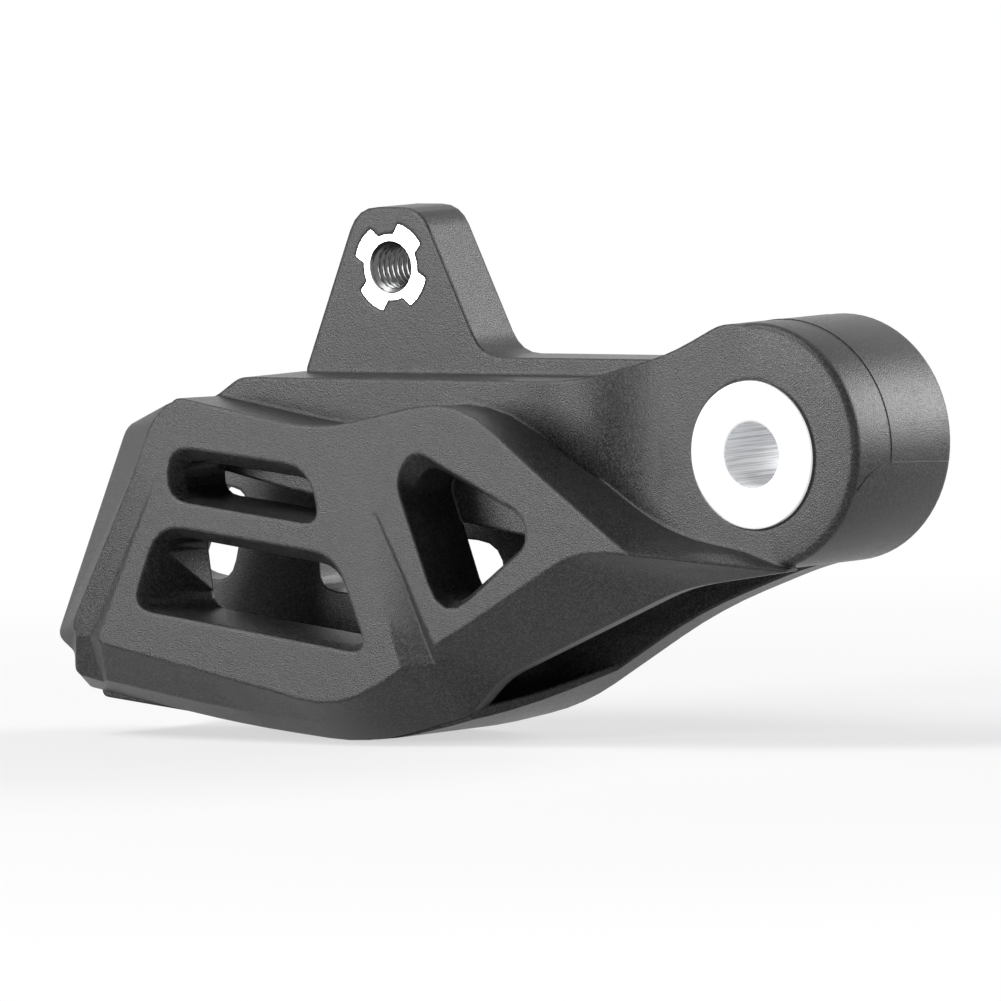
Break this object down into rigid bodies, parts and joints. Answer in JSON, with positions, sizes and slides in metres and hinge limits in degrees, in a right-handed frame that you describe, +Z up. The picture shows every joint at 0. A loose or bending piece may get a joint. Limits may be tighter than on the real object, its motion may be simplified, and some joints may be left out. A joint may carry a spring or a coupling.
{
  "type": "motorcycle chain guide",
  "caption": "Moulded chain guide with two slotted side walls, a round fixing boss with a pressed metal sleeve, and an upper tab with a threaded metal insert.",
  "frame": {"origin": "on the axis of the sleeve, in the plane of the near face of the fixing boss", "axes": "+X along the chain towards the fixing boss, +Y along the sleeve from the near side to the far side, +Z up towards the tab"},
  "size_m": [0.1519, 0.0368, 0.0823],
  "materials": {
    "moulded_plastic": "fine-grained black moulded nylon",
    "sleeve_metal": "bright turned aluminium",
    "insert_metal": "bright machined metal with a cut thread"
  },
  "bodies": {
    "root": {"guide_body": "moulded_plastic", "sleeve": "sleeve_metal", "threaded_insert": "insert_metal"}
  },
  "joints": []
}
